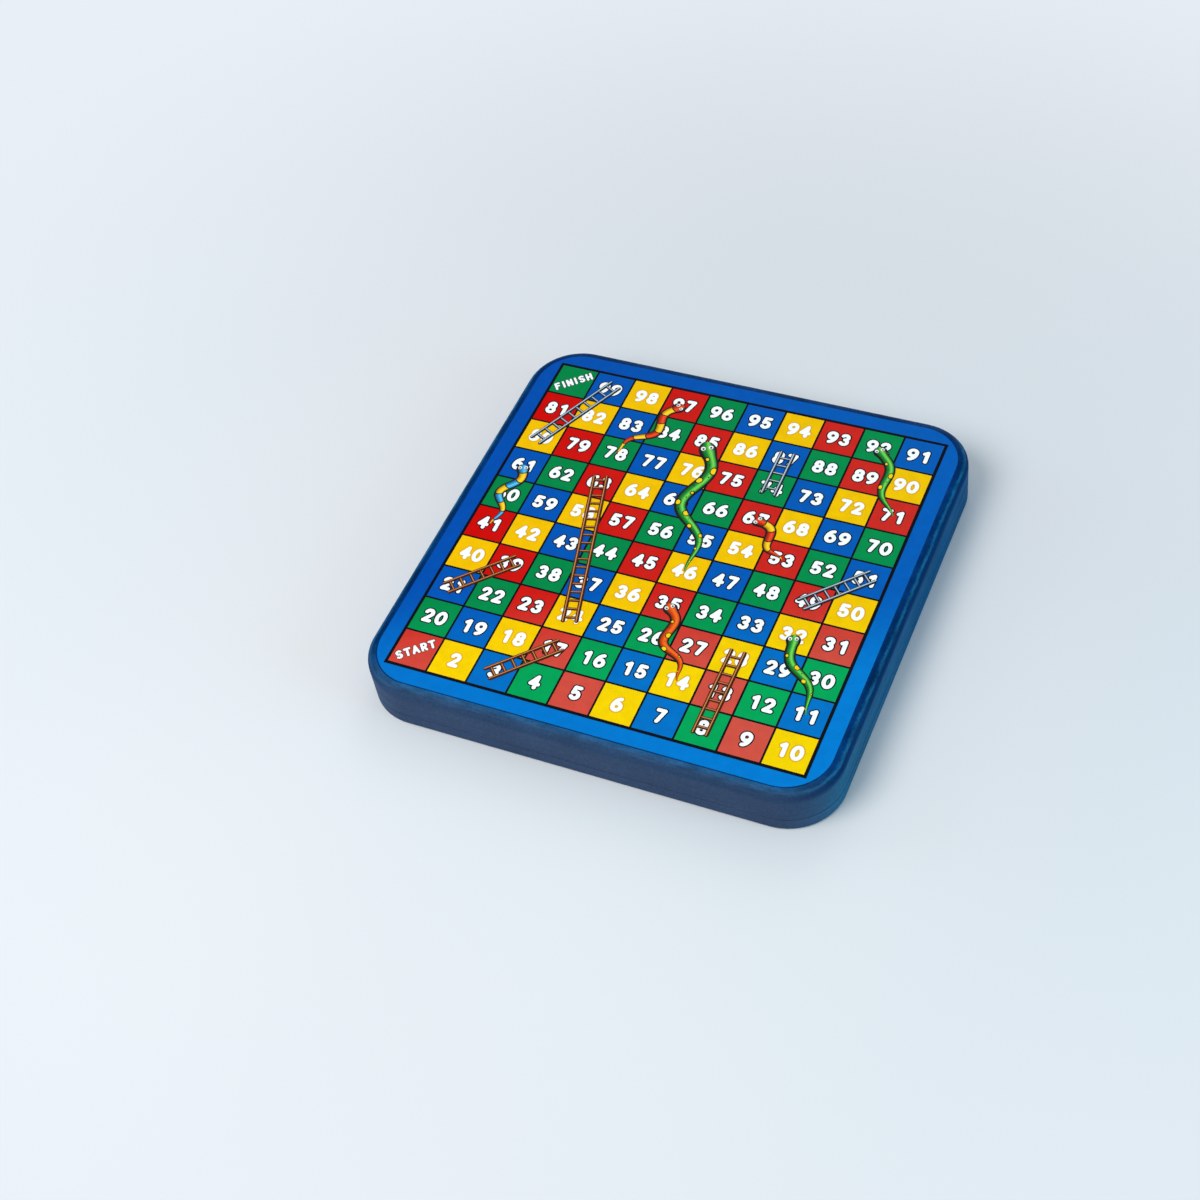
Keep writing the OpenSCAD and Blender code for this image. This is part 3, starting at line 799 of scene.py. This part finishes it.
def eye_discs(name, lines, disc, material):
    """A small elliptic button on either side of every head."""
    bodies = Bodies()
    for line in lines:
        half = snake_half(EYE_AT, line.width)
        side = line.side(EYE_AT).to_3d()
        along = Vector((-side.y, side.x, 0))
        for sign in (-1, 1):
            eye = line.at(EYE_AT).to_3d() + side * (sign * EYE_ASIDE * half) + along * (disc.ahead * half)
            centres = [eye + Vector((0, 0, INK_Z + share * FIGURE_H)) for share in (EYE_FOOT, disc.top)]
            bodies.add_stack([ring(centre, side * (disc.wide * half), along * (disc.long * half), EYE_STEPS)
                              for centre in centres])
    bodies.piece(name, material, "lid", "line_ink")


def snake_eyes(lines):
    """Two pale eyes with a dark rim and a dark pupil for every snake."""
    dark = letter_material("eye_black", srgb(12, 11, 12))
    eye_discs("snake_eye_rims", lines, EYE_RIM, dark)
    eye_discs("snake_eyes", lines, EYE_WHITE, letter_material("eye_pale", srgb(246, 244, 232)))
    eye_discs("snake_pupils", lines, PUPIL, dark)


def figures():
    """The ladders, the snakes and the snakes' eyes."""
    wood = ladder_material("ladder_wood", middle=srgb(158, 82, 28), light=srgb(232, 158, 92),
                           outline=srgb(58, 24, 6), grain=0.14, ink=0.23)
    metal = ladder_material("ladder_metal", middle=srgb(138, 156, 172), light=srgb(210, 224, 234),
                            outline=srgb(22, 26, 34), grain=0.05, ink=0.21)
    green = spotted_snake("snake_green", middle=srgb(8, 140, 44), light=srgb(124, 220, 84))
    red = banded_snake("snake_red", middle=srgb(214, 40, 0), light=srgb(242, 88, 28))
    orange = spotted_snake("snake_orange", middle=srgb(222, 70, 0), light=srgb(248, 118, 28))
    blue = banded_snake("snake_blue", middle=srgb(30, 146, 206), light=srgb(104, 200, 240))
    ladders("ladders_brown", BROWN_LADDERS, wood, "ladder_brown")
    ladders("ladders_silver", SILVER_LADDERS, metal, "ladder_silver")
    long_ones = (LONG_SNAKES, LONG_W, LONG_SWAY)
    lines = snakes("snakes_green", [(GREEN_SNAKES, SNAKE_W, SNAKE_SWAY), long_ones], green, "snake_green")
    lines += snakes("snakes_red", [(RED_SNAKES, SNAKE_W, SNAKE_SWAY)], red, "snake_red")
    lines += snakes("snakes_orange", [(ORANGE_SNAKES, SNAKE_W, SNAKE_SWAY)], orange, "snake_orange")
    lines += snakes("snakes_blue", [(BLUE_SNAKES, SNAKE_W, SNAKE_SWAY)], blue, "snake_blue")
    snake_eyes(lines)


# Pawns, turned to the sizes of their solids. They lie in their nests with the head towards the back.

PAWN_COLOURS = {"red": srgb(205, 32, 26), "yellow": srgb(248, 200, 16), "green": srgb(10, 148, 78),
                "blue": srgb(6, 98, 190)}
FOOT_T, FOOT_ROUND, FOOT_FLAT = 1.8 * MM, 0.5 * MM, 1.2 * MM
STEM_POWER, STEM_STEPS = 2.2, 12
NECK_R = 1.6 * MM
COLLAR_R, COLLAR_T = 2.7 * MM, 0.9 * MM
HEAD_R, HEAD_SEAT_R, HEAD_TOP_R = 3.1 * MM, 1.7 * MM, 0.02 * MM
HEAD_STEPS = 24
PAWN_STEPS = 72


def rounding(radius, height, size, start, end, steps):
    """A rounded stretch of a turned profile, about a centre at that radius and height."""
    return arc(radius, height, size, size, start, end, steps)


def pawn_profile(height, foot_r):
    """Rounded foot, waisted stem, collar and ball, as (radius, height) pairs from the foot up."""
    edge_r = foot_r - FOOT_ROUND
    foot = [(foot_r - FOOT_FLAT, 0.0)] + rounding(edge_r, FOOT_ROUND, FOOT_ROUND, -90, 0, 6)
    foot += rounding(edge_r, FOOT_T - FOOT_ROUND, FOOT_ROUND, 0, 90, 6)
    stem_top = height - 2 * HEAD_R - COLLAR_T
    shares = [i / STEM_STEPS for i in range(STEM_STEPS + 1)]
    stem = [(NECK_R + (HEAD_R - NECK_R) * (1 - share) ** STEM_POWER, FOOT_T + (stem_top - FOOT_T) * share)
            for share in shares]
    collar = rounding(COLLAR_R - COLLAR_T / 2, stem_top + COLLAR_T / 2, COLLAR_T / 2, -90, 90, 8)
    seat = -math.degrees(math.acos(HEAD_SEAT_R / HEAD_R))
    ball = rounding(0.0, height - HEAD_R, HEAD_R, seat, 90, HEAD_STEPS)
    return foot + stem + collar + [(max(radius, HEAD_TOP_R), z) for radius, z in ball]


def pawns():
    for name, colour in PAWN_COLOURS.items():
        node = "pawn_" + name
        low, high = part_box(node)
        foot = Vector(((low.x + high.x) / 2, low.y, (low.z + high.z) / 2))
        turn = Vector((0, 0, 1)).rotation_difference(Vector((0, 1, 0))).to_matrix()
        rings = [ring(foot + turn @ Vector((0, 0, height)), turn @ Vector((radius, 0, 0)),
                      turn @ Vector((0, radius, 0)), PAWN_STEPS)
                 for radius, height in pawn_profile(high.y - low.y, (high.x - low.x) / 2)]
        turned = Bodies()
        turned.add_stack(rings)
        piece = turned.piece(node + "_turned", gloss_material(node + "_plastic", colour), "base", node, True)
        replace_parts(piece, node)


# The die's pips: their places on each face as steps from its middle, how the top face turns to become
# that face, in degrees about X and then Y, and a pip's rings as radius and depth below its own top

CORNERS = [(-1, -1), (-1, 1), (1, -1), (1, 1)]
PIP_PLACES = {
    1: [(0, 0)], 2: [(-1, -1), (1, 1)], 3: [(-1, 1), (0, 0), (1, -1)], 4: CORNERS,
    5: CORNERS + [(0, 0)], 6: CORNERS + [(-1, 0), (1, 0)]}
FACE_TURNS = {1: (0, 0), 2: (90, 0), 3: (0, 90), 4: (0, -90), 5: (-90, 0), 6: (180, 0)}
PIP_RINGS = [(0.12 * MM, 0.2 * MM), (0.7 * MM, 0.2 * MM), (0.7 * MM, 0.0), (0.62 * MM, 0.06 * MM),
             (0.4 * MM, 0.1 * MM), (0.12 * MM, 0.12 * MM)]
PIP_STEP_SHARE = 0.26
PIP_SUNK = 0.12 * MM
PIP_STEPS = 20


def dress_die():
    """White plastic for the die's own solid, and black dished pips in its hollows."""
    dress("die", gloss_material("die_plastic", srgb(240, 239, 232)))
    low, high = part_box("die")
    middle, side = (low + high) / 2, high.x - low.x
    pips = Bodies()
    for number, places in PIP_PLACES.items():
        about_x, about_y = (math.radians(angle) for angle in FACE_TURNS[number])
        turn = Matrix.Rotation(about_y, 3, "Y") @ Matrix.Rotation(about_x, 3, "X")
        for x, y in places:
            top = Vector((x * PIP_STEP_SHARE * side, y * PIP_STEP_SHARE * side, side / 2 - PIP_SUNK))
            pips.add_stack([
                ring(middle + turn @ (top - Vector((0, 0, depth))), turn @ Vector((radius, 0, 0)),
                     turn @ Vector((0, radius, 0)), PIP_STEPS)
                for radius, depth in PIP_RINGS])
    pips.piece("die_pips", gloss_material("pip_black", srgb(16, 16, 18)), "base", "die_white", True)


# The CAD nodes that keep their shape get their finish

def dress(node, material):
    NODES[node].data.materials.clear()
    NODES[node].data.materials.append(material)


def dress_nodes():
    navy = case_material("navy_plastic")
    dress("base_shell", navy)
    dress("lid_shell", navy)
    dress("hinge_pin_left", steel_material("pin_steel"))
    dress("hinge_pin_right", steel_material("pin_steel"))
    dress("storage_tray", tray_material("tray_plastic"))
    # For each print, the front colour carries painted light and the back colour painted shade.
    dress("game_sheet", print_material("sheet_blue", front=srgb(0, 121, 203), back=srgb(0, 76, 168)))
    dress("grid_lines", print_material("line_black", front=srgb(14, 14, 20), back=srgb(8, 9, 16)))
    dress("squares_red", print_material("square_red", front=srgb(208, 82, 67), back=srgb(204, 2, 0)))
    dress("squares_yellow", print_material("square_yellow", front=srgb(246, 208, 0), back=srgb(244, 188, 0)))
    dress("squares_green", print_material("square_green", front=srgb(0, 163, 87), back=srgb(0, 128, 67)))
    dress("squares_blue", print_material("square_blue", front=srgb(0, 113, 192), back=srgb(0, 80, 173)))


# Floor, light and camera

PALE = srgb(233, 239, 247)
FLOOR_DARK, FLOOR_LIGHT = srgb(222, 223, 227), srgb(226, 227, 230)
FLOOR_HALF = 6.0
FLOOR_Z = -0.1 * MM
FADE_NEAR, FADE_FAR = 0.13, 0.5
SKY, SKY_STRENGTH = (0.95, 0.97, 1.0, 1.0), 0.45

# Lamps: place and width in metres, power in watts, and colour
Lamp = namedtuple("Lamp", "name place size power colour")
LAMPS = [
    Lamp("key", (-0.35, -0.55, 0.85), size=0.7, power=7.0, colour=(1.0, 0.98, 0.95)),
    Lamp("right", (0.85, -0.1, 0.26), size=0.5, power=3.2, colour=(0.3, 0.8, 1.0)),
    Lamp("left", (-0.85, -0.1, 0.3), size=0.5, power=1.3, colour=(0.3, 0.8, 1.0)),
    Lamp("back", (-0.1, 0.8, 0.7), size=0.6, power=1.2, colour=(0.95, 0.97, 1.0)),
]

# The photograph's view: the point of the deck that the camera aims at, its distance, and its angles
AIM = Vector((FIELD.x - 1.04 * CELL, FIELD.y - 1.88 * CELL, INK_Z))
DISTANCE = 46.53 * CELL
ELEVATION, AZIMUTH, ROLL = math.radians(49.62), math.radians(31.24), math.radians(10.53)
LENS, SENSOR = 61.12, 36.0
CLIP_START = 0.01


def seen_directly(tree):
    """One for the rays that show the backdrop: camera, glossy and transmission rays."""
    path = tree.nodes.new("ShaderNodeLightPath")
    last = path.outputs["Is Camera Ray"]
    for name in ("Is Glossy Ray", "Is Transmission Ray"):
        node = tree.nodes.new("ShaderNodeMath")
        node.operation = "MAXIMUM"
        tree.links.new(last, node.inputs[0])
        tree.links.new(path.outputs[name], node.inputs[1])
        last = node.outputs[0]
    return last


def floor_material(name):
    """Pale grey near the board, which fades into the backdrop's own colour away from it."""
    shader = Shader(name, 0.8, Specular_IOR_Level=0.1)
    shader.colour(shader.ramp(shader.noise(3.0), [(0.3, FLOOR_DARK), (0.7, FLOOR_LIGHT)]))
    far = shader.node("ShaderNodeVectorMath", {0: shader.place()}, operation="LENGTH").outputs["Value"]
    fade = shader.span(far, FADE_NEAR, FADE_FAR, 0.0, 1.0, "SMOOTHSTEP")
    glow = shader.node("ShaderNodeEmission", {"Color": PALE, "Strength": 1.0})
    share = fade * seen_directly(shader.tree)
    blend = shader.node("ShaderNodeMixShader", {
        0: share, 1: shader.surface.outputs["BSDF"], 2: glow.outputs["Emission"]})
    shader.put(shader.tree.nodes["Material Output"].inputs["Surface"], blend.outputs["Shader"])
    return shader.material


def stage():
    corners = [(x * FLOOR_HALF, y * FLOOR_HALF, FLOOR_Z) for x, y in ((-1, -1), (1, -1), (1, 1), (-1, 1))]
    mesh = bpy.data.meshes.new("floor")
    mesh.from_pydata(corners, [], [[0, 1, 2, 3]])
    mesh.materials.append(floor_material("floor"))
    floor = bpy.data.objects.new("floor", mesh)
    bpy.context.scene.collection.objects.link(floor)


def lights():
    """The world, plain to the eye and soft as a light, and round lamps that aim at the board."""
    world = bpy.data.worlds.new("studio")
    world.use_nodes = True
    tree = world.node_tree
    light = tree.nodes["Background"]
    light.inputs["Color"].default_value = SKY
    light.inputs["Strength"].default_value = SKY_STRENGTH
    backdrop = tree.nodes.new("ShaderNodeBackground")
    backdrop.inputs["Color"].default_value = PALE
    backdrop.inputs["Strength"].default_value = 1.0
    blend = tree.nodes.new("ShaderNodeMixShader")
    tree.links.new(seen_directly(tree), blend.inputs[0])
    tree.links.new(light.outputs["Background"], blend.inputs[1])
    tree.links.new(backdrop.outputs["Background"], blend.inputs[2])
    tree.links.new(blend.outputs["Shader"], tree.nodes["World Output"].inputs["Surface"])
    bpy.context.scene.world = world
    for lamp in LAMPS:
        area = bpy.data.lights.new(lamp.name, "AREA")
        area.shape = "DISK"
        area.size = lamp.size
        area.energy = lamp.power
        area.color = lamp.colour
        piece = bpy.data.objects.new(lamp.name, area)
        piece.location = lamp.place
        piece.rotation_euler = (-Vector(lamp.place)).to_track_quat("-Z", "Y").to_euler()
        bpy.context.scene.collection.objects.link(piece)


def camera():
    forward = Vector((-math.sin(AZIMUTH) * math.cos(ELEVATION), math.cos(AZIMUTH) * math.cos(ELEVATION),
                      -math.sin(ELEVATION)))
    right = forward.cross(Vector((0, 0, 1))).normalized()
    up = right.cross(forward)
    rolled_right = right * math.cos(ROLL) - up * math.sin(ROLL)
    rolled_up = up * math.cos(ROLL) + right * math.sin(ROLL)
    axes = Matrix((rolled_right, rolled_up, -forward)).transposed()
    lens = bpy.data.cameras.new("camera")
    lens.sensor_width = SENSOR
    lens.lens = LENS
    lens.clip_start = CLIP_START
    view = bpy.data.objects.new("camera", lens)
    view.matrix_world = Matrix.Translation(AIM - forward * DISTANCE) @ axes.to_4x4()
    bpy.context.scene.collection.objects.link(view)
    bpy.context.scene.camera = view


bpy.context.scene.view_settings.view_transform = "Standard"
camera()
stage()
lights()
dress_nodes()
numerals()
figures()
pawns()
dress_die()
